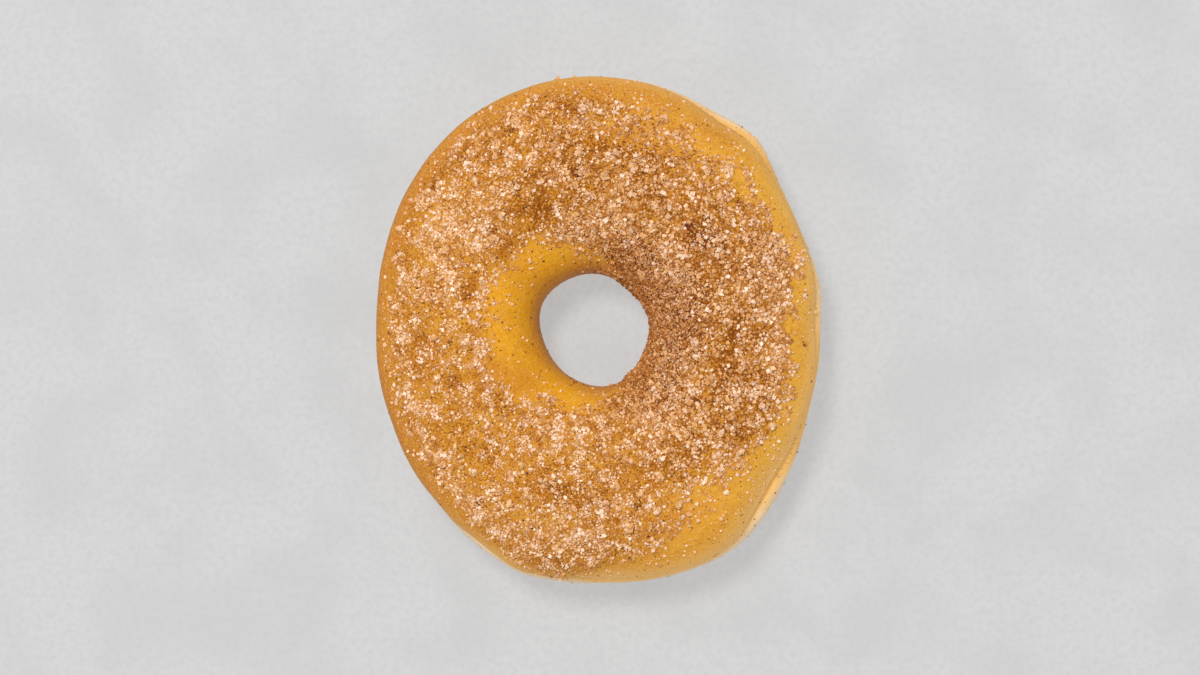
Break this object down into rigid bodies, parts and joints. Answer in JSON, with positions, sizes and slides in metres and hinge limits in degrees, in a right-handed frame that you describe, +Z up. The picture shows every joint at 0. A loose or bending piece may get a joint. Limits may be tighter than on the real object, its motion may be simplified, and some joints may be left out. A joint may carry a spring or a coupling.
{
  "type": "cinnamon sugar ring doughnut",
  "caption": "Ring doughnut of raised dough, fried golden brown with a pale belt round its side and caked cinnamon sugar over the top.",
  "frame": {"origin": "middle of the bounding box's bottom, where the flat ring of the underside lies", "axes": "+Z up through the hole, +Y along the longer way of the slightly oval ring, +X across it"},
  "size_m": [0.0842, 0.0956, 0.0318],
  "materials": {
    "sugared_crust": "golden fried dough under cinnamon sugar"
  },
  "bodies": {
    "root": {"doughnut": "sugared_crust"}
  },
  "joints": []
}
